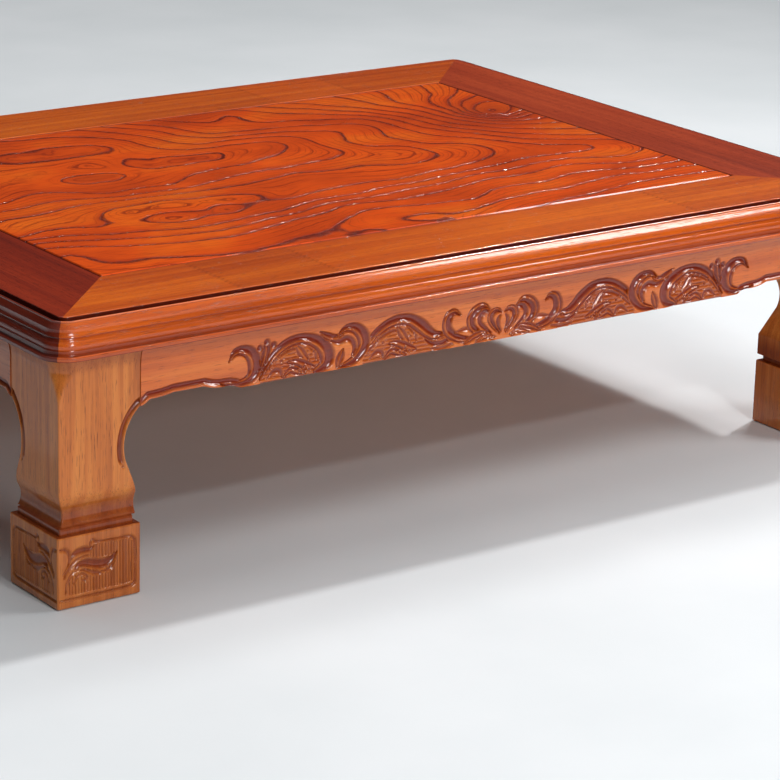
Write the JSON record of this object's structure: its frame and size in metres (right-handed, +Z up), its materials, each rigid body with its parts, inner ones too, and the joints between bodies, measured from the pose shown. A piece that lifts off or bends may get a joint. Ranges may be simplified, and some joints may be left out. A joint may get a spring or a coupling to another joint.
{
  "type": "japanese low table",
  "caption": "Low rectangular floor table with a figured panel in a mitred frame, stepped edge moulding, scroll-carved aprons and square carved legs, for sitting at on the floor.",
  "frame": {"origin": "on the floor under the middle of the table top", "axes": "+X along the long sides, to the right in the front view; +Y to the back; +Z up"},
  "size_m": [1.2, 0.9, 0.32],
  "materials": {
    "panel_wood": "figured board under clear gloss lacquer, orange-brown",
    "frame_wood": "straight-grained hardwood under clear gloss lacquer, red-brown",
    "moulding_wood": "straight-grained hardwood under clear gloss lacquer",
    "apron_wood": "carved hardwood under clear gloss lacquer",
    "leg_wood": "tan hardwood with fine pores, semi-gloss lacquer",
    "inner_wood": "plain unfinished softwood",
    "steel": "zinc-plated steel",
    "felt": "brown pressed felt"
  },
  "bodies": {
    "root": {"top_panel": "panel_wood", "front_rail": "frame_wood", "back_rail": "frame_wood", "left_rail": "frame_wood", "right_rail": "frame_wood", "front_edge_moulding": "moulding_wood", "back_edge_moulding": "moulding_wood", "left_edge_moulding": "moulding_wood", "right_edge_moulding": "moulding_wood", "front_apron": "apron_wood", "back_apron": "apron_wood", "left_apron": "apron_wood", "right_apron": "apron_wood", "front_left_leg": "leg_wood", "front_right_leg": "leg_wood", "back_left_leg": "leg_wood", "back_right_leg": "leg_wood", "mitre_splines": "inner_wood", "left_batten": "inner_wood", "middle_batten": "inner_wood", "right_batten": "inner_wood", "top_buttons": "inner_wood", "front_left_corner_block": "inner_wood", "front_right_corner_block": "inner_wood", "back_left_corner_block": "inner_wood", "back_right_corner_block": "inner_wood", "batten_screws": "steel", "block_top_screws": "steel", "corner_block_screws": "steel", "button_screws": "steel", "hanger_bolts": "steel", "hanger_washers": "steel", "hanger_nuts": "steel", "front_left_foot_pad": "felt", "front_right_foot_pad": "felt", "back_left_foot_pad": "felt", "back_right_foot_pad": "felt"}
  },
  "joints": []
}
